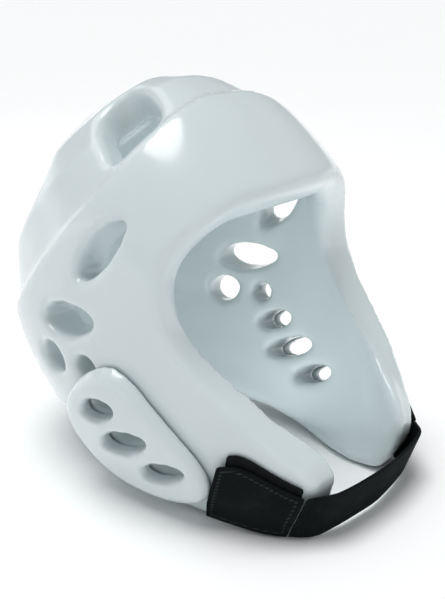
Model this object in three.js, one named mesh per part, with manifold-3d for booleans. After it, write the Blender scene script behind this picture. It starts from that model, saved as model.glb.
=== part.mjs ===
// Sparring headgear for taekwondo: a one-piece dipped foam shell, a raised foam pad over each ear,
// and an elastic chin strap held by a hook-and-loop tab on each cheek.
// Millimetres. +X is the wearer's left, -Y the way the face looks, +Z up. It stands on z = 0 as it
// rests by itself, on the foot of each ear flap and on the nape, with X = 0 its plane of symmetry.
import * as THREE from 'three';
import { mergeVertices } from 'three/addons/utils/BufferGeometryUtils.js';
import Module from 'manifold-3d';

const wasm = await Module();
wasm.setup();

// Head form, measured on the outside of the side panel from the middle of the head
const HALF_WIDTH = 102;
const FRONT_REACH = 96;
const BACK_REACH = 152;
const CROWN_HEIGHT = 139.5;
const SQUARENESS = 0.35;

// Foam shell
const WALL = 25;
const PANEL_STEP = 4.5;
const STEP_RUN = 4;
const RIM_ROUND = 5;
const VENT_FLARE = 3;
const VENT_FLARE_DEPTH = 4;
const FOOT_FLAT = 0.8;

// Ear pads
const PAD_HEIGHT = 10;
const PAD_BEVEL = 8;
const PAD_SIDE = 3;

// Chin strap, its tabs and the patches they close on
const STRAP_WIDTH = 30;
const STRAP_THICKNESS = 2;
const STRAP_SPAN = 61;
const CHIN_REACH = 120;
const TAB_THICKNESS = 2.4;
const PATCH_THICKNESS = 1.6;

// Clearances
const GAP = 0.3;
const PAD_SEAT = 0.8;
const TAB_SEAT = 0.6;
const FLOOR_GAP = 1.2;
const CUT_PAST = 8;

// How finely the forms are cut
const SPOKES_PER_ROW = 2;
const CROWN_ROWS = 4;
const SIDE_ROWS = 8;
const LINING_CROWN_ROWS = 2;
const LINING_SIDE_ROWS = 4;
const VENT_SIDES = 12;
const OUTLINE_PER_ROW = 2;

const degrees = THREE.MathUtils.degToRad;

// Level sections of the head form. polar is the angle down from the crown, and front, side and back
// are shares of the reach in that direction.
const SECTIONS = [
  { polar: 0, front: 1.026, side: 1.026, back: 1.026 },
  { polar: 15, front: 1.004, side: 1.024, back: 1.042 },
  { polar: 30, front: 0.957, side: 1.032, back: 1.062 },
  { polar: 45, front: 0.915, side: 1.038, back: 1.082 },
  { polar: 60, front: 0.886, side: 1.025, back: 1.084 },
  { polar: 75, front: 0.9, side: 1.01, back: 1.058 },
  { polar: 90, front: 0.98, side: 0.995, back: 1.012 },
  { polar: 105, front: 1.08, side: 0.99, back: 0.975 },
  { polar: 120, front: 1.16, side: 1.02, back: 0.96 },
  { polar: 135, front: 1.25, side: 1.09, back: 0.94 },
  { polar: 150, front: 1.32, side: 1.18, back: 0.92 },
  { polar: 165, front: 1.3, side: 1.2, back: 0.92 },
];

// Spokes of the right half, from the brow round the cheek, the jaw tip and the ear flap to the nape.
// Each joins a place on the panel's ridge to its places on the rim, outside and on the lining, around
// being the angle from the front about the crown, and wall the share of the full wall left there.
const SPOKES = [
  { at: 'brow', ridgePolar: 31, ridgeAround: 0, rimPolar: 70, rimAround: 0, liningPolar: 70, liningAround: 0, wall: 1 },
  { at: 'brow', ridgePolar: 31.5, ridgeAround: 17, rimPolar: 70.7, rimAround: 20, liningPolar: 70.7, liningAround: 20, wall: 1 },
  { at: 'brow', ridgePolar: 35.2, ridgeAround: 31, rimPolar: 71.6, rimAround: 34, liningPolar: 71.6, liningAround: 34, wall: 1 },
  { at: 'temple', ridgePolar: 39.8, ridgeAround: 43.5, rimPolar: 74.6, rimAround: 46.5, liningPolar: 74.6, liningAround: 46.5, wall: 1 },
  { at: 'temple', ridgePolar: 45.5, ridgeAround: 55.5, rimPolar: 79, rimAround: 59.5, liningPolar: 79, liningAround: 59.5, wall: 1 },
  { at: 'temple', ridgePolar: 50, ridgeAround: 66, rimPolar: 85.5, rimAround: 68, liningPolar: 85.5, liningAround: 68, wall: 1 },
  { at: 'cheek', ridgePolar: 53.3, ridgeAround: 75, rimPolar: 93.4, rimAround: 70.8, liningPolar: 93.4, liningAround: 70.8, wall: 1 },
  { at: 'cheek', ridgePolar: 56, ridgeAround: 84, rimPolar: 101.5, rimAround: 69, liningPolar: 101.5, liningAround: 69, wall: 1 },
  { at: 'cheek', ridgePolar: 58.6, ridgeAround: 92, rimPolar: 109.4, rimAround: 64.2, liningPolar: 109.6, liningAround: 63.4, wall: 1 },
  { at: 'cheek', ridgePolar: 61.3, ridgeAround: 98.5, rimPolar: 117.3, rimAround: 57.3, liningPolar: 117.2, liningAround: 53.8, wall: 1 },
  { at: 'jaw', ridgePolar: 63.5, ridgeAround: 103.5, rimPolar: 124.8, rimAround: 50.5, liningPolar: 123.4, liningAround: 43.6, wall: 0.94 },
  { at: 'jaw', ridgePolar: 65.5, ridgeAround: 107.5, rimPolar: 130.3, rimAround: 43.6, liningPolar: 128, liningAround: 34.2, wall: 0.76 },
  { at: 'jaw tip', ridgePolar: 67.2, ridgeAround: 111, rimPolar: 134.6, rimAround: 37.6, liningPolar: 133.6, liningAround: 28.6, wall: 0.62 },
  { at: 'jaw tip', ridgePolar: 68.6, ridgeAround: 114, rimPolar: 140, rimAround: 40.5, liningPolar: 140, liningAround: 31, wall: 0.61 },
  { at: 'flap', ridgePolar: 69.8, ridgeAround: 116.5, rimPolar: 144.2, rimAround: 50.5, liningPolar: 147.2, liningAround: 40, wall: 0.76 },
  { at: 'flap', ridgePolar: 70.8, ridgeAround: 118.8, rimPolar: 146.4, rimAround: 61, liningPolar: 151.2, liningAround: 48.5, wall: 0.85 },
  { at: 'flap', ridgePolar: 71.7, ridgeAround: 121.2, rimPolar: 146.2, rimAround: 77, liningPolar: 154.8, liningAround: 66, wall: 1.1 },
  { at: 'flap', ridgePolar: 72.7, ridgeAround: 124, rimPolar: 143, rimAround: 91.5, liningPolar: 151.6, liningAround: 84.5, wall: 1.12 },
  { at: 'flap', ridgePolar: 73.8, ridgeAround: 127.2, rimPolar: 138.4, rimAround: 103, liningPolar: 145, liningAround: 97.5, wall: 1.02 },
  { at: 'flap', ridgePolar: 75, ridgeAround: 131.2, rimPolar: 133.4, rimAround: 114, liningPolar: 138, liningAround: 110, wall: 0.95 },
  { at: 'neck', ridgePolar: 76.2, ridgeAround: 137, rimPolar: 128.4, rimAround: 126, liningPolar: 130.4, liningAround: 124.5, wall: 1 },
  { at: 'neck', ridgePolar: 77.2, ridgeAround: 145.5, rimPolar: 126, rimAround: 139.5, liningPolar: 126.4, liningAround: 139.2, wall: 1 },
  { at: 'nape', ridgePolar: 78.2, ridgeAround: 156, rimPolar: 125, rimAround: 154, liningPolar: 125, liningAround: 154, wall: 1 },
  { at: 'nape', ridgePolar: 78.8, ridgeAround: 168, rimPolar: 124.4, rimAround: 167.5, liningPolar: 124.4, liningAround: 167.5, wall: 1 },
  { at: 'nape', ridgePolar: 79, ridgeAround: 180, rimPolar: 124.2, rimAround: 180, liningPolar: 124.2, liningAround: 180, wall: 1 },
];
const CROWN_POLE = { polar: 24, around: 180 };

// Outlines of the two vents in the right of the crown, each from its front corner over the top.
const CROWN_VENT = [
  { at: 'front', polar: 39.5, around: 50.5 },
  { at: 'top', polar: 32, around: 49 },
  { at: 'top', polar: 24.5, around: 56 },
  { at: 'top', polar: 18.5, around: 71 },
  { at: 'rear', polar: 18.5, around: 93 },
  { at: 'rear', polar: 25, around: 101 },
  { at: 'rear', polar: 34.5, around: 95.5 },
  { at: 'foot', polar: 44, around: 87 },
  { at: 'foot', polar: 50.5, around: 80.5 },
  { at: 'foot', polar: 50, around: 73.5 },
  { at: 'foot', polar: 45.8, around: 62.5 },
];
const CROWN_VENT_MIDDLE = { polar: 35, around: 73 };
const REAR_VENT = [
  { at: 'front', polar: 46.5, around: 123.5 },
  { at: 'top', polar: 39, around: 126 },
  { at: 'top', polar: 34.5, around: 135 },
  { at: 'top', polar: 34.5, around: 149 },
  { at: 'rear', polar: 40, around: 158.5 },
  { at: 'rear', polar: 48, around: 161.5 },
  { at: 'rear', polar: 55.5, around: 159 },
  { at: 'foot', polar: 59.5, around: 151 },
  { at: 'foot', polar: 59, around: 139.5 },
  { at: 'foot', polar: 54, around: 128.5 },
];
const REAR_VENT_MIDDLE = { polar: 47, around: 142 };

// Other vents of the right half. long and wide are shares of the half width, lean turns the long way
// up from level, point draws the ends out, taper widens the rear end, and scoop stretches the outer
// lip towards the front.
const SIDE_VENTS = [
  { name: 'temple', polar: 71.5, around: 88.6, long: 0.51, wide: 0.19, lean: 24, point: 0.35, taper: 0, scoop: 0 },
  { name: 'ear', polar: 84.5, around: 106, long: 0.5, wide: 0.2, lean: -14, point: 0.3, taper: 0.2, scoop: 0.14 },
  { name: 'back hole', polar: 92, around: 118, long: 0.25, wide: 0.19, lean: -10, point: 0, taper: 0, scoop: 0 },
  { name: 'pad hole', polar: 96.9, around: 105.8, long: 0.17, wide: 0.14, lean: 0, point: 0, taper: 0, scoop: 0 },
];
const PAD_SLOTS = [
  { name: 'upper slot', polar: 106.5, around: 104, long: 0.3, wide: 0.13, lean: -4, point: 0.1, taper: 0, scoop: 0 },
  { name: 'middle slot', polar: 116, around: 101.5, long: 0.4, wide: 0.135, lean: -4, point: 0.1, taper: 0, scoop: 0 },
  { name: 'lower slot', polar: 125.5, around: 94.5, long: 0.33, wide: 0.12, lean: -4, point: 0.1, taper: 0, scoop: 0 },
];

// Outline of the right ear pad on the head form, from the top of its front edge round the back.
const PAD_OUTLINE = [
  { at: 'top', polar: 98.3, around: 94 },
  { at: 'top', polar: 97.2, around: 100 },
  { at: 'top', polar: 98.2, around: 106 },
  { at: 'top', polar: 100.2, around: 112 },
  { at: 'back', polar: 103.5, around: 117.5 },
  { at: 'back', polar: 108.5, around: 120.8 },
  { at: 'back', polar: 114.5, around: 121.6 },
  { at: 'back', polar: 120.5, around: 120.6 },
  { at: 'foot', polar: 126, around: 117 },
  { at: 'foot', polar: 130, around: 111 },
  { at: 'foot', polar: 133, around: 103.5 },
  { at: 'foot', polar: 135, around: 95.5 },
  { at: 'foot', polar: 135.3, around: 87.8 },
  { at: 'front', polar: 133.2, around: 82.2 },
  { at: 'front', polar: 129.5, around: 79.2 },
  { at: 'front', polar: 124.5, around: 79.6 },
  { at: 'front', polar: 118, around: 82.8 },
  { at: 'front', polar: 110.5, around: 86.8 },
  { at: 'front', polar: 103.5, around: 90.3 },
];
const PAD_MIDDLE = { polar: 115.5, around: 101 };

// Route of the right tab and strap in the resting place, from the tab's rear edge to the middle of
// the chin. The foot and the head are the lower and the upper edge. across is a share of the strap's
// span, forward of the chin's reach, and rise of the strap's width over the lowest it hangs. The tab
// ends at row TAB_END, and the strap comes out of it STRAP_PART of a row further on.
const ROUTE = [
  { at: 'tab', footAcross: 1.23, footForward: 0.375, footRise: 0.12, headAcross: 1.361, headForward: 0.508, headRise: 1.51 },
  { at: 'tab', footAcross: 1.18, footForward: 0.525, footRise: 0.09, headAcross: 1.31, headForward: 0.6, headRise: 1.58 },
  { at: 'tab', footAcross: 1.1, footForward: 0.655, footRise: 0.04, headAcross: 1.2, headForward: 0.7, headRise: 1.38 },
  { at: 'tab', footAcross: 0.984, footForward: 0.755, footRise: 0, headAcross: 0.967, headForward: 0.838, headRise: 1 },
  { at: 'strap', footAcross: 0.862, footForward: 0.85, footRise: 0.03, headAcross: 0.842, headForward: 0.938, headRise: 1 },
  { at: 'strap', footAcross: 0.61, footForward: 0.89, footRise: 0.06, headAcross: 0.625, headForward: 0.972, headRise: 1 },
  { at: 'strap', footAcross: 0.3, footForward: 0.915, footRise: 0.08, headAcross: 0.303, headForward: 0.991, headRise: 1 },
  { at: 'strap', footAcross: 0, footForward: 0.927, footRise: 0.08, headAcross: 0, headForward: 1, headRise: 1 },
];
const TAB_END = 3;
const STRAP_PART = 0.08;

// Part of the route that a patch covers, in rows along and in shares of the tab's height across.
const PATCH_REACH = { rear: 0.3, front: 2.9, foot: 0.22, head: 1.13 };

/** Value of a smooth curve through equally spaced values, given the values past its two ends. */
function smooth(values, t, past) {
  const i = THREE.MathUtils.clamp(Math.floor(t), 0, values.length - 2);
  const u = t - i;
  const before = i > 0 ? values[i - 1] : past.before;
  const after = i + 2 < values.length ? values[i + 2] : past.after;
  const [p, q] = [values[i], values[i + 1]];
  return 0.5 * (2 * p + (q - before) * u + (2 * before - 5 * p + 4 * q - after) * u * u
    + (3 * p - before - 3 * q + after) * u * u * u);
}

/** Value past the end of a list that goes on at the same slope. */
const carriedOn = (end, inner) => 2 * end - inner;

const SECTION_PITCH = degrees(SECTIONS[1].polar - SECTIONS[0].polar);
const OVER_CROWN = { front: 'back', side: 'side', back: 'front' };

/** Share of the reach at a polar angle, in one of the three columns. */
function sectionShare(name, polar) {
  const values = SECTIONS.map((row) => row[name]);
  const last = values.length - 1;
  const past = { before: SECTIONS[1][OVER_CROWN[name]], after: carriedOn(values[last], values[last - 1]) };
  return smooth(values, Math.min(polar / SECTION_PITCH, last), past);
}

/** Unit direction at a polar angle and an angle around, in degrees, in the head form's own proportions. */
function direction({ polar, around }) {
  const [p, a] = [degrees(polar), degrees(around)];
  return new THREE.Vector3(-Math.sin(p) * Math.sin(a), -Math.sin(p) * Math.cos(a), Math.cos(p));
}

/** Scale from the form's proportions to millimetres on the side that y lies on. */
const stretch = (y) => new THREE.Vector3(HALF_WIDTH, y < 0 ? FRONT_REACH : BACK_REACH, CROWN_HEIGHT);

/** Point of the head form in a direction. */
function formPoint(dir) {
  const polar = Math.acos(THREE.MathUtils.clamp(dir.z, -1, 1));
  const level = Math.hypot(dir.x, dir.y);
  const across = level > 0 ? Math.abs(dir.x) / level : 0;
  const along = level > 0 ? Math.abs(dir.y) / level : 1;
  const power = 2 + SQUARENESS * level * level;
  const reach = sectionShare(dir.y < 0 ? 'front' : 'back', polar);
  const share = (Math.pow(across / sectionShare('side', polar), power)
    + Math.pow(along / reach, power)) ** (-1 / power);
  return dir.clone().multiplyScalar(share).multiply(stretch(dir.y));
}

/** Outward unit normal of the head form in a direction, from small steps on each side of it. */
function formNormal(dir) {
  const step = 0.004;
  const helper = Math.abs(dir.z) < 0.9 ? new THREE.Vector3(0, 0, 1) : new THREE.Vector3(1, 0, 0);
  const first = new THREE.Vector3().crossVectors(helper, dir).normalize();
  const second = new THREE.Vector3().crossVectors(dir, first);
  const along = (axis, amount) => formPoint(dir.clone().addScaledVector(axis, amount).normalize());
  const slope = (axis) => along(axis, step).sub(along(axis, -step));
  return new THREE.Vector3().crossVectors(slope(first), slope(second)).normalize();
}

/** Point that stands `lift` proud of the head form in a direction. */
const lifted = (dir, lift) => formPoint(dir).addScaledVector(formNormal(dir), lift);

/** Direction part of the way along the arc between two directions, or past its ends. */
function arc(from, to, share) {
  const angle = from.angleTo(to);
  if (angle < 1e-9) return from.clone();
  return from.clone().multiplyScalar(Math.sin((1 - share) * angle) / Math.sin(angle))
    .addScaledVector(to, Math.sin(share * angle) / Math.sin(angle));
}

/** Geometry with each vertex put where `place` says. */
function shaped(geometry, place) {
  const { position, uv, normal } = geometry.attributes;
  for (let i = 0; i < position.count; i += 1) {
    const at = new THREE.Vector3().fromBufferAttribute(position, i);
    const face = new THREE.Vector3().fromBufferAttribute(normal, i);
    const put = place({ u: uv.getX(i), v: uv.getY(i), at, face });
    position.setXYZ(i, put.x, put.y, put.z);
  }
  return geometry;
}

/** Solid of a closed geometry, turned so that its faces point out. */
function solidOf(geometry) {
  const bare = geometry.clone();
  for (const name of ['normal', 'uv']) bare.deleteAttribute(name);
  const merged = mergeVertices(bare, 1e-4);
  const corners = merged.attributes.position.array;
  const corner = (i) => new THREE.Vector3().fromArray(corners, 3 * i);
  const faces = [];
  let volume = 0;
  for (let i = 0; i < merged.index.count; i += 3) {
    const [p, q, r] = [0, 1, 2].map((k) => merged.index.getX(i + k));
    if (p === q || q === r || r === p) continue;
    faces.push([p, q, r]);
    volume += corner(p).dot(corner(q).cross(corner(r)));
  }
  const outward = volume < 0 ? faces.map(([p, q, r]) => [p, r, q]) : faces;
  return new wasm.Manifold(new wasm.Mesh({
    numProp: 3,
    vertProperties: new Float32Array(corners),
    triVerts: new Uint32Array(outward.flat()),
  }));
}

/** Geometry of a solid. */
function geometryOf(solid) {
  const mesh = solid.getMesh();
  const geometry = new THREE.BufferGeometry();
  geometry.setAttribute('position', new THREE.BufferAttribute(mesh.vertProperties, 3));
  geometry.setIndex(new THREE.BufferAttribute(mesh.triVerts, 1));
  return geometry;
}

/** Solid mirrored to the wearer's left. */
const mirrored = (solid) => solid.mirror([1, 0, 0]);

/** Closed solid over spokes that all start at one point and all end at another. */
function overSpokes(spokes) {
  const rows = spokes[0].length - 1;
  const grid = new THREE.SphereGeometry(1, spokes.length, rows);
  return solidOf(shaped(grid, ({ u, v }) => {
    const row = Math.round((1 - v) * rows);
    const atPole = row === 0 || row === rows;
    return spokes[atPole ? 0 : Math.round(u * spokes.length) % spokes.length][row];
  }));
}

const HALF_TURN = SPOKES_PER_ROW * (SPOKES.length - 1);

/** Directions and wall share of one spoke, counted round from the brow over the right side. */
function spokeEnds(index) {
  const onLeft = index > HALF_TURN;
  const side = onLeft ? -1 : 1;
  const t = (onLeft ? 2 * HALF_TURN - index : index) / SPOKES_PER_ROW;
  const inner = SPOKES.length - 2;
  const even = (name) => {
    const values = SPOKES.map((row) => row[name]);
    return smooth(values, t, { before: values[1], after: values[inner] });
  };
  const turned = (name) => {
    const values = SPOKES.map((row) => row[name]);
    return side * smooth(values, t, { before: -values[1], after: 360 - values[inner] });
  };
  const place = (name) => direction({ polar: even(`${name}Polar`), around: turned(`${name}Around`) });
  return { ridge: place('ridge'), rim: place('rim'), lining: place('lining'), wall: even('wall') };
}

/** Stations down one spoke, outside from the crown to the rim and back inside to the crown. */
function shellStations(spoke) {
  const pole = direction(CROWN_POLE);
  const { ridge, rim, lining, wall } = spokeEnds(spoke);
  const run = formPoint(ridge).distanceTo(formPoint(rim));
  const edge = RIM_ROUND / run;
  const step = STEP_RUN / run;
  const onCrown = (share, lift) => lifted(arc(pole, ridge, share), lift);
  const onSide = (share, lift) => lifted(arc(ridge, rim, share), lift);
  const onLining = (share, lift) => {
    const depth = WALL * THREE.MathUtils.lerp(1, wall, share ** 3);
    return lifted(arc(ridge, lining, share), lift - depth);
  };
  const spaced = (count) => Array.from({ length: count + 1 }, (_, i) => i / count);
  const outer = [
    ...spaced(CROWN_ROWS).map((t) => onCrown(t, -PANEL_STEP)),
    ...spaced(SIDE_ROWS).map((t) => onSide(THREE.MathUtils.lerp(step, 1 - edge, t), 0)),
  ];
  const rounding = [
    onSide(1 - 0.3 * edge, -0.3 * RIM_ROUND),
    onSide(1, -RIM_ROUND),
    onLining(1, RIM_ROUND),
    onLining(1 - 0.3 * edge, 0.3 * RIM_ROUND),
  ];
  const inside = [
    ...spaced(LINING_CROWN_ROWS).map((t) => onCrown(t, -WALL)),
    ...spaced(LINING_SIDE_ROWS).slice(1).map((t) => onLining((1 - edge) * t, 0)),
  ];
  return [...outer, ...rounding, ...inside.reverse()];
}

/** Foam shell before its vents are cut: one wall, open at the face and the neck. */
const shellBlank = () => overSpokes(Array.from({ length: 2 * HALF_TURN }, (_, i) => shellStations(i)));

/** Directions round a closed outline. */
function outlineRing(rows) {
  const row = (i) => rows[(i + rows.length) % rows.length];
  return Array.from({ length: rows.length * OUTLINE_PER_ROW }, (_, i) => {
    const start = Math.floor(i / OUTLINE_PER_ROW);
    const read = (name) => smooth([row(start)[name], row(start + 1)[name]], i / OUTLINE_PER_ROW - start,
      { before: row(start - 1)[name], after: row(start + 2)[name] });
    return direction({ polar: read('polar'), around: read('around') });
  });
}

/** Closed solid on the head form inside an outline. The profile gives, for the distance from the
 *  outline to the middle, each station's inset and lift, from the middle outside to the middle inside. */
function onForm(outline, middlePlace, profile) {
  const middle = direction(middlePlace);
  return overSpokes(outlineRing(outline).map((edge) => {
    const run = formPoint(middle).distanceTo(formPoint(edge));
    return profile(run).map(({ inset, lift }) => lifted(arc(edge, middle, inset / run), lift));
  }));
}

/** Cutter of a vent in the crown, which flares to its outer lip. */
function crownVentCutter(outline, middle) {
  const outside = CUT_PAST - PANEL_STEP;
  const inside = -WALL - CUT_PAST;
  const flare = VENT_FLARE * (CUT_PAST + VENT_FLARE_DEPTH) / VENT_FLARE_DEPTH;
  return onForm(outline, middle, (run) => [
    { inset: run, lift: outside },
    { inset: -flare, lift: outside },
    { inset: 0, lift: -PANEL_STEP - VENT_FLARE_DEPTH },
    { inset: 0, lift: inside },
    { inset: run, lift: inside },
  ]);
}

/** Outline point of a side vent at an angle, in the plane that touches the head form there. */
function ventOutline(vent, angle) {
  const along = Math.cos(angle);
  const up = Math.sign(Math.sin(angle)) * Math.abs(Math.sin(angle)) ** (1 + vent.point) * (1 - vent.taper * along);
  return { along: along * vent.long * HALF_WIDTH / 2, up: up * vent.wide * HALF_WIDTH / 2 };
}

/** Cutter of a side vent, square to the head form, with a flared lip where it meets the outside. */
function ventCutter(vent, lip) {
  const dir = direction(vent);
  const normal = formNormal(dir);
  const middle = formPoint(dir);
  const level = new THREE.Vector3(0, 0, 1).cross(normal).normalize();
  const forward = level.applyAxisAngle(normal, degrees(vent.lean));
  const upward = new THREE.Vector3().crossVectors(normal, forward);
  const stations = [
    { lift: lip + CUT_PAST, flare: 1 + CUT_PAST / VENT_FLARE_DEPTH },
    { lift: lip - VENT_FLARE_DEPTH, flare: 0 },
    { lift: -WALL - CUT_PAST, flare: 0 },
  ];
  const last = stations.length - 1;
  const tube = new THREE.CylinderGeometry(1, 1, 1, VENT_SIDES, last);
  return solidOf(shaped(tube, ({ v, at, face }) => {
    const onCap = Math.abs(face.y) > 0.5;
    const capRow = face.y > 0 ? 0 : last;
    const { lift, flare } = stations[onCap ? capRow : Math.round((1 - v) * last)];
    const base = middle.clone().addScaledVector(normal, lift);
    if (onCap && Math.hypot(at.x, at.z) < 0.5) return base;
    const { along, up } = ventOutline(vent, Math.atan2(at.z, at.x));
    const grow = 1 + flare * VENT_FLARE / Math.hypot(along, up);
    const shift = flare * Math.max(0, along) * vent.scoop / vent.long;
    return base.addScaledVector(forward, along * grow + shift).addScaledVector(upward, up * grow);
  }));
}

/** Right-hand cutters with their mirror images. */
const bothSides = (cutters) => cutters.flatMap((cutter) => [cutter, mirrored(cutter)]);

/** Right ear pad before its slots are cut: a cushion seated on the shell, bevelled to its face. */
function padBlank() {
  const shoulder = PAD_SIDE + (PAD_HEIGHT - PAD_SIDE) * 0.72;
  return onForm(PAD_OUTLINE, PAD_MIDDLE, (run) => [
    { inset: run, lift: PAD_HEIGHT },
    { inset: (run + PAD_BEVEL) / 2, lift: PAD_HEIGHT },
    { inset: PAD_BEVEL, lift: PAD_HEIGHT },
    { inset: PAD_BEVEL * 0.4, lift: shoulder },
    { inset: 0, lift: PAD_SIDE },
    { inset: 0, lift: PAD_SEAT },
    { inset: run / 3, lift: PAD_SEAT },
    { inset: 2 * run / 3, lift: PAD_SEAT },
    { inset: run, lift: PAD_SEAT },
  ]);
}

/** Corners of a solid as vectors. */
function cornersOf(solid) {
  const { vertProperties } = solid.getMesh();
  return Array.from({ length: vertProperties.length / 3 }, (_, i) => new THREE.Vector3().fromArray(vertProperties, 3 * i));
}

/** Tilt back and height at which the foam stands on its ear flaps and its nape at once. */
function restingPlace(corners) {
  const split = BACK_REACH / 4;
  const lowest = (tilt) => {
    const low = { front: Infinity, rear: Infinity };
    for (const { y, z } of corners) {
      const end = y * Math.cos(tilt) + z * Math.sin(tilt) < split ? 'front' : 'rear';
      low[end] = Math.min(low[end], z * Math.cos(tilt) - y * Math.sin(tilt));
    }
    return low;
  };
  let [from, to] = [0, Math.PI / 3];
  for (let i = 0; i < 40; i += 1) {
    const tilt = (from + to) / 2;
    const { front, rear } = lowest(tilt);
    if (front < rear) from = tilt;
    else to = tilt;
  }
  return { tilt: from, floor: lowest(from).front + FOOT_FLAT };
}

const headBlank = shellBlank();
const earPadBlank = padBlank();
const rest = restingPlace([...cornersOf(headBlank), ...cornersOf(earPadBlank)]);
const toRest = new THREE.Matrix4().makeTranslation(0, 0, -rest.floor)
  .multiply(new THREE.Matrix4().makeRotationX(-rest.tilt));
const toHead = toRest.clone().invert();

/** Block under the floor, in the head's own place, which trims the foam where it stands. */
function floorBlock() {
  const size = 4 * BACK_REACH;
  const block = new THREE.BoxGeometry(size, size, size).translate(0, 0, -size / 2);
  return solidOf(block.applyMatrix4(toHead));
}

/** Direction in which a point of the resting place lies. */
function directionOf(point) {
  const own = point.clone().applyMatrix4(toHead);
  return own.divide(stretch(own.y)).normalize();
}

/** Point on the shell, `lift` proud of the head form, in front of a point of the resting place. */
const onShell = (point, lift) => lifted(directionOf(point), lift).applyMatrix4(toRest);

/** Point of the resting place, moved out where it stands less than `lift` proud of the head form, and
 *  held clear of the floor. */
function offShell(point, lift) {
  const surface = onShell(point, lift);
  const middle = new THREE.Vector3().applyMatrix4(toRest);
  const clear = point.distanceTo(middle) < surface.distanceTo(middle) ? surface : point;
  return clear.setZ(Math.max(clear.z, FLOOR_GAP));
}

/** Lower or upper edge of the route at a place along it, counted in rows. */
function routeEdge(edge, along) {
  const last = ROUTE.length - 1;
  const read = (name, mirrorSign) => {
    const values = ROUTE.map((row) => row[edge + name]);
    return smooth(values, along, { before: carriedOn(values[0], values[1]), after: mirrorSign * values[last - 1] });
  };
  const height = FLOOR_GAP + read('Rise', 1) * STRAP_WIDTH;
  return new THREE.Vector3(-read('Across', -1) * STRAP_SPAN, -read('Forward', 1) * CHIN_REACH, height);
}

/** Place on the route, across from its lower to its upper edge, standing `proud` of its own face. */
function routePoint(along, across, proud) {
  const on = (t) => routeEdge('foot', t).lerp(routeEdge('head', t), across);
  const reach = 0.02;
  const tangent = on(along + reach).sub(on(along - reach));
  const rise = routeEdge('head', along).sub(routeEdge('foot', along));
  return on(along).addScaledVector(tangent.cross(rise).normalize(), proud);
}

/** Closed band whose vertices are put by their share along, share across and side. */
function bandSolid(along, across, place) {
  const box = new THREE.BoxGeometry(1, 1, 1, along, 1, across);
  return solidOf(shaped(box, ({ at }) => place(at.x + 0.5, at.z + 0.5, at.y > 0)));
}

const patchTop = GAP + PATCH_THICKNESS;
const tabFoot = patchTop + TAB_SEAT;

/** Right loop patch: a sheet that lies on the shell under the tab and shows past its upper edge. */
const patchSolid = () => bandSolid(6, 3, (u, w, onTop) => {
  const along = THREE.MathUtils.lerp(PATCH_REACH.rear, PATCH_REACH.front, u);
  const across = THREE.MathUtils.lerp(PATCH_REACH.foot, PATCH_REACH.head, w);
  return onShell(routePoint(along, across, 0), onTop ? patchTop : GAP);
});

/** Right closure tab, which follows the route and stands clear of its patch. */
const tabSolid = () => bandSolid(7, 3, (u, w, onTop) => {
  const proud = onTop ? TAB_THICKNESS : 0;
  return offShell(routePoint(u * TAB_END, w, proud), tabFoot + proud);
});

/** Whole strap from one tab round the chin to the other. */
function strapSolid() {
  const start = TAB_END + STRAP_PART;
  return bandSolid(30, 1, (u, w, onTop) => {
    const proud = onTop ? STRAP_THICKNESS : 0;
    const along = THREE.MathUtils.lerp(start, ROUTE.length - 1, 1 - Math.abs(2 * u - 1));
    const free = routePoint(along, w, proud);
    const held = offShell(free, tabFoot + proud);
    const point = free.lerp(held, Math.max(0, TAB_END + 1 - along));
    return u > 0.5 ? point.setX(-point.x) : point;
  });
}

const slots = bothSides(PAD_SLOTS.map((slot) => ventCutter(slot, PAD_HEIGHT)));
const vents = bothSides([
  crownVentCutter(CROWN_VENT, CROWN_VENT_MIDDLE),
  crownVentCutter(REAR_VENT, REAR_VENT_MIDDLE),
  ...SIDE_VENTS.map((vent) => ventCutter(vent, 0)),
]);
const shell = wasm.Manifold.difference([headBlank, ...vents, ...slots, floorBlock()]);
const pad = wasm.Manifold.difference([earPadBlank, ...slots, floorBlock()]);
const tab = tabSolid();
const patch = patchSolid();

const FOAM = { color: 0xeef3f4, roughness: 0.22, metalness: 0 };
const WEBBING = { color: 0x16191b, roughness: 0.85, metalness: 0 };
const FLEECE = { color: 0x0f1112, roughness: 0.95, metalness: 0 };

const headgear = new THREE.Group();
const tilted = new THREE.Group();
tilted.rotation.x = -rest.tilt;
tilted.position.z = -rest.floor;
headgear.add(tilted);

/** Adds a named piece to a group. */
function addPiece(group, name, solid, finish) {
  const piece = new THREE.Mesh(geometryOf(solid), new THREE.MeshStandardMaterial(finish));
  piece.name = name;
  group.add(piece);
}

addPiece(tilted, 'foam_shell', shell, FOAM);
addPiece(tilted, 'right_ear_pad', pad, FOAM);
addPiece(tilted, 'left_ear_pad', mirrored(pad), FOAM);
addPiece(headgear, 'chin_strap', strapSolid(), WEBBING);
addPiece(headgear, 'right_closure_tab', tab, WEBBING);
addPiece(headgear, 'left_closure_tab', mirrored(tab), WEBBING);
addPiece(headgear, 'right_loop_patch', patch, FLEECE);
addPiece(headgear, 'left_loop_patch', mirrored(patch), FLEECE);

// The origin is under the middle of the whole object, front to back.
headgear.position.y = -new THREE.Box3().setFromObject(headgear, true).getCenter(new THREE.Vector3()).y;

export default headgear;
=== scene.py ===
"""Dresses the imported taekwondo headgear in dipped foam, woven elastic and brushed loop.

Every size is in metres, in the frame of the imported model. The headgear rests on the floor at Z = 0,
its face looks along -Y, and +X is the wearer's left.
"""

import logging
import math
from dataclasses import dataclass
from enum import Enum

import bmesh
import bpy
import numpy as np
from mathutils import Matrix, Vector, kdtree


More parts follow.
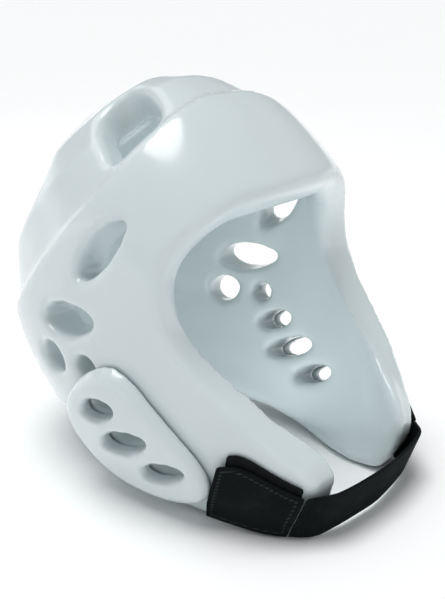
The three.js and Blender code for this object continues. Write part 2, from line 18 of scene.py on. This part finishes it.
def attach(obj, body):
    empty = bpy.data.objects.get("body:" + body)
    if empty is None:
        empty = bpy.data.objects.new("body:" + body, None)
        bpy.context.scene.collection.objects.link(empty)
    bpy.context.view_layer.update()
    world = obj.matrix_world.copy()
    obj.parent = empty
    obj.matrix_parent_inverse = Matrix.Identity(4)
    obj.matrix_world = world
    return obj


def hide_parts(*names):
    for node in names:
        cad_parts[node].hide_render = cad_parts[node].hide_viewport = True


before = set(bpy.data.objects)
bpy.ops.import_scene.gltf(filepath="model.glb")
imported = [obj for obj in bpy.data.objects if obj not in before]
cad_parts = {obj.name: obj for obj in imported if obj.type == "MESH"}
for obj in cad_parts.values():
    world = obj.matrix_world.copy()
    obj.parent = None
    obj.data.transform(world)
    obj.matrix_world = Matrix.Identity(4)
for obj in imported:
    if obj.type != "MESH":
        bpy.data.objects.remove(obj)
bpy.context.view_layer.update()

LOG = logging.getLogger("headgear")
ALONG, ACROSS, BORDER = "along", "across", "border"
MERGE_REACH = 1e-5

Colour = tuple[float, float, float, float]
Point = tuple[float, float, float]


class Side(Enum):
    """The side of the headgear, as its wearer names it."""

    RIGHT = "right"
    LEFT = "left"


class Slot(Enum):
    """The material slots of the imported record."""

    FOAM = "dipped_foam"
    WEBBING = "elastic_webbing"
    LOOP = "loop_fleece"


class Hold(Enum):
    """How a piece of cloth is held."""

    STRETCHED = "stretched"
    LAID = "laid"


# Shader maths


class Value:
    """A number that varies over a surface, written in plain Python maths."""

    def __init__(self, graph: "Graph", socket: bpy.types.NodeSocket) -> None:
        """Keeps the graph and the socket that gives the number."""
        self.graph = graph
        self.socket = socket

    def __add__(self, other: "Value | float") -> "Value":
        """Returns the sum."""
        return self.graph.maths("ADD", self, other)

    def __radd__(self, other: "Value | float") -> "Value":
        """Returns the sum, with the number first."""
        return self.graph.maths("ADD", other, self)

    def __sub__(self, other: "Value | float") -> "Value":
        """Returns the difference."""
        return self.graph.maths("SUBTRACT", self, other)

    def __rsub__(self, other: "Value | float") -> "Value":
        """Returns the difference, with the number first."""
        return self.graph.maths("SUBTRACT", other, self)

    def __mul__(self, other: "Value | float") -> "Value":
        """Returns the product."""
        return self.graph.maths("MULTIPLY", self, other)

    def __rmul__(self, other: "Value | float") -> "Value":
        """Returns the product, with the number first."""
        return self.graph.maths("MULTIPLY", other, self)

    def __abs__(self) -> "Value":
        """Returns the size without its sign."""
        return self.graph.maths("ABSOLUTE", self)

    def wave(self, pitch: float) -> "Value":
        """Returns a wave from 0 to 1 that repeats at each pitch, in metres."""
        return self.graph.maths("SINE", self * (2 * math.pi / pitch)) * 0.5 + 0.5

    def rise(self, low: float, high: float) -> "Value":
        """Returns a smooth step.

        Args:
            low: where it is still 0.
            high: where it reaches 1.

        Returns:
            The step, from 0 to 1.
        """
        node = self.graph.node(
            "ShaderNodeMapRange",
            {"interpolation_type": "SMOOTHSTEP"},
            {0: self, 1: low, 2: high, 3: 0.0, 4: 1.0},
        )
        return Value(self.graph, node.outputs[0])


class Graph:
    """The nodes of one material, ending in a Principled shader."""

    def __init__(self, name: str) -> None:
        """Makes the material and its shader.

        Args:
            name: the finish's plain name.
        """
        self.material = bpy.data.materials.new(name)
        self.material.use_nodes = True
        self.tree = self.material.node_tree
        self.tree.nodes.clear()
        self.shader = self.node("ShaderNodeBsdfPrincipled", {}, {})
        end = self.node("ShaderNodeOutputMaterial", {}, {})
        self.tree.links.new(self.shader.outputs[0], end.inputs["Surface"])

    def node(self, kind: str, settings: dict, values: dict) -> bpy.types.Node:
        """Adds a node.

        Args:
            kind: the node's type.
            settings: its own settings, set first.
            values: its sockets by name or number, each a plain value or a link.

        Returns:
            The node.
        """
        made = self.tree.nodes.new(kind)
        for key, setting in settings.items():
            setattr(made, key, setting)
        for key, value in values.items():
            self.give(made.inputs[key], value)
        return made

    def give(self, socket: bpy.types.NodeSocket, value: object) -> None:
        """Links a socket or sets its plain value."""
        if isinstance(value, Value):
            value = value.socket
        if isinstance(value, bpy.types.NodeSocket):
            self.tree.links.new(value, socket)
        else:
            socket.default_value = value

    def maths(self, operation: str, *terms: "Value | float") -> Value:
        """Adds one Math node and returns its result."""
        made = self.node("ShaderNodeMath", {"operation": operation}, dict(enumerate(terms)))
        return Value(self, made.outputs[0])

    def place(self) -> bpy.types.NodeSocket:
        """Returns the point on the object, in metres."""
        return self.node("ShaderNodeTexCoord", {}, {}).outputs["Object"]

    def attribute(self, name: str) -> Value:
        """Returns one of the piece's own attributes."""
        made = self.node("ShaderNodeAttribute", {"attribute_name": name}, {})
        return Value(self, made.outputs["Fac"])

    def noise(self, scale: float, detail: float = 3.0, roughness: float = 0.55) -> Value:
        """Returns a soft noise.

        Args:
            scale: its features to a metre.
            detail: how many finer layers it has.
            roughness: how strong those layers are.

        Returns:
            The noise, about 0 to 1.
        """
        made = self.node(
            "ShaderNodeTexNoise",
            {},
            {"Vector": self.place(), "Scale": scale, "Detail": detail, "Roughness": roughness},
        )
        return Value(self, made.outputs[0])

    def blend(self, share: Value, first: object, second: object) -> bpy.types.NodeSocket:
        """Mixes two colours.

        Args:
            share: 0 for the first, 1 for the second.
            first: a colour or the socket of one.
            second: a colour or the socket of one.

        Returns:
            The mixed colour's socket.
        """
        sockets = {0: share, 6: first, 7: second}
        made = self.node("ShaderNodeMix", {"data_type": "RGBA"}, sockets)
        return made.outputs[2]

    def relief(self, height: Value, depth: float) -> None:
        """Gives the shader a bump of that depth, in metres."""
        sockets = {"Strength": 1.0, "Distance": depth, "Height": height}
        made = self.node("ShaderNodeBump", {}, sockets)
        self.give(self.shader.inputs["Normal"], made.outputs[0])

    def finish(self, **sockets: object) -> bpy.types.Material:
        """Sets the shader's sockets, named with underscores for spaces, and returns the material."""
        for key, value in sockets.items():
            self.give(self.shader.inputs[key.replace("_", " ")], value)
        return self.material


# Finishes


@dataclass(frozen=True)
class DippedVinyl:
    """The glossy white skin of dipped foam, gently wavy, with a fine peel and dull spots."""

    light: Colour = (0.645, 0.72, 0.73, 1.0)
    cool: Colour = (0.625, 0.703, 0.715, 1.0)
    scuff: Colour = (0.48, 0.52, 0.52, 1.0)
    swell_depth: float = 0.0003
    swell_scale: float = 26.0
    peel_depth: float = 0.0000016
    peel_scale: float = 360.0
    handled_scale: float = 62.0
    speck_scale: float = 900.0
    tint_scale: float = 14.0
    speck_share: float = 0.2
    gloss: float = 0.2
    coat: float = 0.6

    def material(self) -> bpy.types.Material:
        """Returns the skin's material."""
        graph = Graph("dipped_vinyl")
        swell = graph.noise(self.swell_scale, 1.5)
        peel = graph.noise(self.peel_scale, 1.0)
        handled = graph.noise(self.handled_scale, 5.0, 0.62).rise(0.56, 0.74)
        specks = graph.noise(self.speck_scale, 3.0, 0.7).rise(0.68, 0.75)
        cooler = graph.noise(self.tint_scale, 3.0).rise(0.35, 0.68)
        tint = graph.blend(cooler, self.light, self.cool)
        marked = graph.blend(handled * specks * self.speck_share, tint, self.scuff)
        graph.relief(swell + peel * (self.peel_depth / self.swell_depth), self.swell_depth)
        return graph.finish(
            Base_Color=marked,
            Roughness=self.gloss + handled * 0.05,
            Coat_Weight=self.coat - handled * 0.06,
            Coat_Roughness=0.12,
            IOR=1.5,
        )


@dataclass(frozen=True)
class WovenElastic:
    """Black woven elastic, ribbed along it, with dense edges and a sewn border if asked; its colour
    is darker in the weave's hollows as painted shade and lighter on the raised threads as a painted
    highlight.
    """

    thread: Colour = (0.0060, 0.0100, 0.0105, 1.0)
    # painted shade: the colour of the weave's hollows, darker than the threads where shade falls
    painted_hollow_shade: Colour = (0.0010, 0.0020, 0.0022, 1.0)
    stitch: Colour = (0.026, 0.033, 0.034, 1.0)
    rib: float = 0.0014
    pick: float = 0.0010
    depth: float = 0.00035
    seam: float = 0.0
    name: str = "woven_elastic"

    def material(self) -> bpy.types.Material:
        """Returns the weave's material."""
        graph = Graph(self.name)
        along, across = graph.attribute(ALONG), graph.attribute(ACROSS)
        border = graph.attribute(BORDER)
        picks = (along + across.wave(self.rib * 2) * (self.pick * 0.5)).wave(self.pick)
        weave = across.wave(self.rib) * 0.6 + picks * 0.4
        edge = 1.0 - border.rise(0.0012, 0.0019)
        cloth = weave * (1.0 - edge * 0.6) + edge * picks * 0.6
        fuzz = graph.noise(2600.0, 3.0, 0.7)
        wear = graph.noise(45.0, 4.0, 0.6).rise(0.45, 0.75)
        # Painted light: the colour runs from painted shade in the weave's hollows to a painted
        # highlight on the raised threads.
        colour = graph.blend(cloth * 0.75 + fuzz * 0.25, self.painted_hollow_shade, self.thread)
        height = cloth + fuzz * 0.3
        if self.seam > 0:
            line = 1.0 - abs(border - self.seam).rise(0.0004, 0.0009)
            dashes = (along + across).wave(0.0034).rise(0.22, 0.42)
            sewn = line * dashes
            colour = graph.blend(sewn, colour, self.stitch)
            height = height + sewn * 1.6 - line * 0.7
        graph.relief(height, self.depth)
        return graph.finish(
            Base_Color=graph.blend(wear * 0.25, colour, self.stitch),
            Roughness=0.76 + fuzz * 0.2,
            Specular_IOR_Level=0.1,
        )


@dataclass(frozen=True)
class BrushedLoop:
    """The black brushed loop side of a hook-and-loop closure, its colour darker in the low gaps
    between tufts as painted shade.
    """

    nap: Colour = (0.012, 0.015, 0.016, 1.0)
    # painted shade: the colour in the low gaps between the tufts
    painted_gap_shade: Colour = (0.0012, 0.0018, 0.002, 1.0)
    depth: float = 0.0006

    def material(self) -> bpy.types.Material:
        """Returns the nap's material."""
        graph = Graph("brushed_loop")
        tufts = graph.noise(1500.0, 4.0, 0.75)
        clumps = graph.noise(260.0, 3.0)
        nap = tufts * 0.7 + clumps * 0.3
        graph.relief(nap, self.depth)
        # Painted shade: the colour darkens where the nap is low, between the tufts.
        return graph.finish(
            Base_Color=graph.blend(nap.rise(0.32, 0.7), self.painted_gap_shade, self.nap),
            Roughness=0.86 + clumps * 0.1,
            Specular_IOR_Level=0.15,
        )


@dataclass(frozen=True)
class PaleFloor:
    """A plain pale studio floor."""

    light: Colour = (0.97, 0.975, 0.975, 1.0)
    shade: Colour = (0.95, 0.955, 0.96, 1.0)

    def material(self) -> bpy.types.Material:
        """Returns the floor's material."""
        graph = Graph("pale_floor")
        cloud = graph.noise(3.0, 4.0)
        return graph.finish(
            Base_Color=graph.blend(cloud, self.light, self.shade),
            Roughness=0.7 + graph.noise(40.0) * 0.1,
        )


# Pieces


def merged_node(node: str) -> bmesh.types.BMesh:
    """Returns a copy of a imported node's mesh with its loose triangles joined up."""
    copy = bmesh.new()
    copy.from_mesh(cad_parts[node].data)
    bmesh.ops.remove_doubles(copy, verts=copy.verts, dist=MERGE_REACH)
    return copy


def new_object(name: str, shape: bmesh.types.BMesh) -> bpy.types.Object:
    """Puts a mesh in the scene.

    Args:
        name: the piece's name.
        shape: its mesh, which is freed.

    Returns:
        The object, at the origin.
    """
    mesh = bpy.data.meshes.new(name)
    shape.to_mesh(mesh)
    shape.free()
    made = bpy.data.objects.new(name, mesh)
    bpy.context.scene.collection.objects.link(made)
    return made


def settle(piece: bpy.types.Object) -> None:
    """Applies a piece's modifiers to its mesh and shades it smooth."""
    bpy.context.view_layer.update()
    shown = piece.evaluated_get(bpy.context.evaluated_depsgraph_get())
    mesh = bpy.data.meshes.new_from_object(shown)
    piece.modifiers.clear()
    piece.data = mesh
    mesh.polygons.foreach_set("use_smooth", np.ones(len(mesh.polygons), bool))
    mesh.update()


def points_of(piece: bpy.types.Object) -> np.ndarray:
    """Returns the points of a piece's mesh, one a row."""
    flat = np.zeros(len(piece.data.vertices) * 3, np.float32)
    piece.data.vertices.foreach_get("co", flat)
    return flat.reshape(-1, 3).astype(float)


def keep_attribute(piece: bpy.types.Object, name: str, numbers: np.ndarray) -> None:
    """Stores one number for each point of a piece."""
    made = piece.data.attributes.new(name, "FLOAT", "POINT")
    made.data.foreach_set("value", numbers.astype(np.float32))


@dataclass
class SoftForm:
    """A moulded foam form with one skin and the round edges that dipping leaves."""

    node: str
    voxel: float = 0.0021
    passes: int = 15
    fill: float = 0.95
    rim_passes: int = 0
    rim_from: float = -0.014
    rim_full: float = -0.034
    rim_steps: int = 10

    def build(self) -> bpy.types.Object:
        """Returns the form as one smooth closed piece, in its node's place."""
        piece = new_object(f"{self.node}_skin", merged_node(self.node))
        remesh = piece.modifiers.new("skin", "REMESH")
        remesh.mode = "VOXEL"
        remesh.voxel_size = self.voxel
        rounding = piece.modifiers.new("rounding", "SMOOTH")
        rounding.factor = 0.5
        rounding.iterations = self.passes
        settle(piece)
        if self.rim_passes:
            self.round_front(piece)
        return piece

    def round_front(self, piece: bpy.types.Object) -> None:
        """Rounds the thick rim of the face opening further than the rest.

        Args:
            piece: the form, already one skin.
        """
        front = piece.vertex_groups.new(name="front")
        depth = points_of(piece)[:, 1]
        share = np.clip((self.rim_from - depth) / (self.rim_from - self.rim_full), 0, 1)
        steps = np.round(share * self.rim_steps).astype(int)
        for step in range(1, self.rim_steps + 1):
            chosen = np.nonzero(steps == step)[0].tolist()
            front.add(chosen, step / self.rim_steps, "REPLACE")
        rounding = piece.modifiers.new("front_rounding", "SMOOTH")
        rounding.factor = 0.5
        rounding.iterations = self.rim_passes
        rounding.vertex_group = front.name
        settle(piece)

    def dress(self, piece: bpy.types.Object, skin: bpy.types.Material) -> None:
        """Gives the piece its skin and its place in the headgear.

        Args:
            piece: the form.
            skin: its material.
        """
        piece.data.materials.clear()
        piece.data.materials.append(skin)
        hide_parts(self.node)
        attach(piece, "root")


@dataclass
class FlatCloth:
    """A flat piece of webbing or loop: its band runs smoothly, and its weave follows it."""

    node: str
    slot: Slot
    thickness: float
    hold: Hold = Hold.LAID
    width: float = 0.0
    levels: int = 4
    sharp: float = math.radians(40)
    flatness: float = math.radians(30)
    squareness: float = math.radians(170)
    crease: float = 0.9
    rim_points: int = 24
    flat: tuple[float, float] = (0.0, 0.0)

    def build(self) -> bpy.types.Object:
        """Returns the cloth as one smooth closed piece with its weave's directions."""
        shape = merged_node(self.node)
        bmesh.ops.join_triangles(
            shape,
            faces=shape.faces,
            angle_face_threshold=self.flatness,
            angle_shape_threshold=self.squareness,
        )
        crease = shape.edges.layers.float.new("crease_edge")
        rim = []
        for edge in shape.edges:
            if len(edge.link_faces) == 2 and edge.calc_face_angle() > self.sharp:
                edge[crease] = self.crease
                start, end = (corner.co.copy() for corner in edge.verts)
                shares = (step / self.rim_points for step in range(self.rim_points + 1))
                rim += [start.lerp(end, share) for share in shares]
        piece = new_object(f"{self.node}_cloth", shape)
        finer = piece.modifiers.new("finer", "SUBSURF")
        finer.levels = finer.render_levels = self.levels
        settle(piece)
        self.mark_border(piece, rim)
        self.mark_grain(piece)
        return piece

    def mark_border(self, piece: bpy.types.Object, rim: list[Vector]) -> None:
        """Stores how far each point is from the cloth's edge.

        Args:
            piece: the cloth.
            rim: points along its edges.
        """
        tree = kdtree.KDTree(len(rim))
        for index, point in enumerate(rim):
            tree.insert(point, index)
        tree.balance()
        far = [tree.find(corner.co)[2] for corner in piece.data.vertices]
        keep_attribute(piece, BORDER, np.array(far))

    def mark_grain(self, piece: bpy.types.Object) -> None:
        """Stores each point's place along and across the cloth, in metres."""
        points = points_of(piece)
        off = points - points.mean(0)
        axes = np.linalg.svd(off, full_matrices=False)[2]
        keep_attribute(piece, ALONG, off @ axes[0])
        keep_attribute(piece, ACROSS, off @ axes[1])
        self.flat = (float(np.ptp(off @ axes[1])), float(np.ptp(off @ axes[0])))

    def dress(self, piece: bpy.types.Object, cloth: bpy.types.Material, under: list[str]) -> None:
        """Gives the piece its cloth and its place in the headgear.

        Args:
            piece: the cloth piece.
            cloth: its material.
            under: the names of what it lies on; not used.
        """
        piece.data.materials.clear()
        piece.data.materials.append(cloth)
        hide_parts(self.node)
        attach(piece, "root")
        measured = bmesh.new()
        measured.from_mesh(piece.data)
        area = abs(measured.calc_volume()) / self.thickness
        measured.free()
        area = min(area, self.flat[0] * self.flat[1])


@dataclass
class ChinStrap(FlatCloth):
    """The elastic strap round the chin, from one tab to the other."""

    stations: int = 41

    def mark_grain(self, piece: bpy.types.Object) -> None:
        """Stores each point's place along the strap's own run and across its width, in metres."""
        points = points_of(piece)
        order = np.argsort(points[:, 0])
        groups = np.array_split(points[order], self.stations)
        middles = np.array([group.mean(0) for group in groups])
        steps = np.linalg.norm(np.diff(middles, axis=0), axis=1)
        run = np.concatenate([[0.0], np.cumsum(steps)])
        keep_attribute(piece, ALONG, np.interp(points[:, 0], middles[:, 0], run))
        middle_z = np.interp(points[:, 0], middles[:, 0], middles[:, 2])
        keep_attribute(piece, ACROSS, points[:, 2] - middle_z)
        self.flat = (self.width, float(run[-1]))


@dataclass
class Headgear:
    """The whole headgear, built from the shell outwards."""

    pad_voxel: float = 0.0009
    pad_passes: int = 18
    rim_passes: int = 26
    tab_thickness: float = 0.0024
    patch_thickness: float = 0.0016
    strap_thickness: float = 0.0020
    strap_width: float = 0.030
    seam: float = 0.0032

    def build(self) -> None:
        """Builds and dresses each piece in order, and reports it."""
        skin = DippedVinyl().material()
        elastic = WovenElastic().material()
        sewn = WovenElastic(rib=0.0011, seam=self.seam, name="sewn_tab").material()
        loop = BrushedLoop().material()
        forms = [SoftForm("foam_shell", rim_passes=self.rim_passes)]
        for side in Side:
            forms.append(SoftForm(f"{side.value}_ear_pad", self.pad_voxel, self.pad_passes))
        for form in forms:
            piece = form.build()
            form.dress(piece, skin)
            self.report(piece)
        under_strap = []
        for side in Side:
            patch = FlatCloth(f"{side.value}_loop_patch", Slot.LOOP, self.patch_thickness)
            patch_piece = patch.build()
            patch.dress(patch_piece, loop, ["foam_shell_skin"])
            self.report(patch_piece)
            tab = FlatCloth(f"{side.value}_closure_tab", Slot.WEBBING, self.tab_thickness)
            tab_piece = tab.build()
            tab.dress(tab_piece, sewn, [patch_piece.name])
            self.report(tab_piece)
            under_strap.append(tab_piece.name)
        strap = ChinStrap(
            "chin_strap", Slot.WEBBING, self.strap_thickness, Hold.STRETCHED, self.strap_width
        )
        strap_piece = strap.build()
        strap.dress(strap_piece, elastic, under_strap)
        self.report(strap_piece)

    def report(self, piece: bpy.types.Object) -> None:
        """Logs a finished piece and its number of faces."""
        LOG.info("%s: %d faces", piece.name, len(piece.data.polygons))


# Studio


@dataclass
class SoftBox:
    """One large soft studio light."""

    name: str
    place: Point
    size: float
    watts: float
    reflected: bool = True

    def build(self, aim: Vector) -> None:
        """Hangs the light and turns it to a point."""
        lamp = bpy.data.lights.new(self.name, "AREA")
        lamp.shape = "SQUARE"
        lamp.size = self.size
        lamp.energy = self.watts
        made = bpy.data.objects.new(self.name, lamp)
        made.location = self.place
        made.visible_camera = False
        made.visible_glossy = self.reflected
        made.rotation_euler = (aim - Vector(self.place)).to_track_quat("-Z", "Y").to_euler()
        bpy.context.scene.collection.objects.link(made)


@dataclass
class SoftSky:
    """A broad soft light from far above, the same all over the floor."""

    place: Point = (-0.1, 0.12, 1.0)
    watts: float = 1.75
    spread: float = math.radians(38)

    def build(self) -> None:
        """Hangs the light, turned down to the floor."""
        lamp = bpy.data.lights.new("overhead", "SUN")
        lamp.energy = self.watts
        lamp.angle = self.spread
        made = bpy.data.objects.new("overhead", lamp)
        made.rotation_euler = Vector(self.place).to_track_quat("Z", "Y").to_euler()
        bpy.context.scene.collection.objects.link(made)


@dataclass
class Studio:
    """The pale floor, the soft light and the camera."""

    aim: Point = (0.0, -0.01755, 0.11559)
    azimuth: float = -51.1
    elevation: float = 18.82
    distance: float = 0.5994
    slide: float = -0.003685
    rise: float = -0.008446
    lens: float = 56.9
    floor_half: float = 30.0
    sky: float = 0.33
    horizon: tuple[float, float] = (0.04, 0.16)
    exposure: float = 0.22

    def build(self) -> None:
        """Builds the floor, the lights and the camera."""
        self.lay_floor()
        self.light()
        self.set_camera()
        settings = bpy.context.scene.view_settings
        settings.view_transform = "Standard"
        settings.exposure = self.exposure

    def lay_floor(self) -> None:
        """Lays the plain pale floor."""
        shape = bmesh.new()
        bmesh.ops.create_grid(shape, x_segments=8, y_segments=8, size=self.floor_half)
        floor = new_object("studio_floor", shape)
        floor.data.materials.append(PaleFloor().material())

    def light(self) -> None:
        """Hangs the soft boxes and sets the even light of the room."""
        aim = Vector(self.aim)
        boxes = [
            SoftBox("front_box", (-0.15, -1.3, 0.45), 0.9, 0.9),
            SoftBox("back_box", (0.05, 0.9, 1.3), 1.0, 2.0),
            SoftBox("hollow_box", (-0.01, -0.035, 0.012), 0.06, 0.06, reflected=False),
        ]
        SoftSky().build()
        for box in boxes:
            box.build(aim)
        world = bpy.data.worlds.new("studio_room")
        world.use_nodes = True
        nodes, links = world.node_tree.nodes, world.node_tree.links
        height = nodes.new("ShaderNodeSeparateXYZ")
        links.new(nodes.new("ShaderNodeTexCoord").outputs["Generated"], height.inputs[0])
        fade = nodes.new("ShaderNodeMapRange")
        fade.interpolation_type = "SMOOTHSTEP"
        for index, number in ((1, self.horizon[0]), (2, self.horizon[1]), (3, 1.0), (4, self.sky)):
            fade.inputs[index].default_value = number
        links.new(height.outputs["Z"], fade.inputs[0])
        room = nodes["Background"]
        room.inputs["Color"].default_value = (0.97, 0.99, 1.0, 1.0)
        links.new(fade.outputs[0], room.inputs["Strength"])
        bpy.context.scene.world = world

    def set_camera(self) -> None:
        """Sets the camera at the viewing angle, level and unshifted."""
        turn, lift = math.radians(self.azimuth), math.radians(self.elevation)
        right = Vector((math.cos(turn), math.sin(turn), 0.0))
        level = math.cos(lift)
        back = Vector((math.sin(turn) * level, -math.cos(turn) * level, math.sin(lift)))
        up = back.cross(right)
        eye = Vector(self.aim) + back * self.distance + right * self.slide + up * self.rise
        data = bpy.data.cameras.new("studio_camera")
        data.sensor_width = 36.0
        data.lens = self.lens
        data.clip_start = 0.02
        camera = bpy.data.objects.new("studio_camera", data)
        facing = Matrix((right, up, back)).transposed().to_4x4()
        camera.matrix_world = Matrix.Translation(eye) @ facing
        bpy.context.scene.collection.objects.link(camera)
        bpy.context.scene.camera = camera


def main() -> None:
    """Builds the headgear and its studio."""
    logging.basicConfig(level=logging.INFO, format="%(name)s: %(message)s")
    Headgear().build()
    Studio().build()


if __name__ == "__main__":
    main()
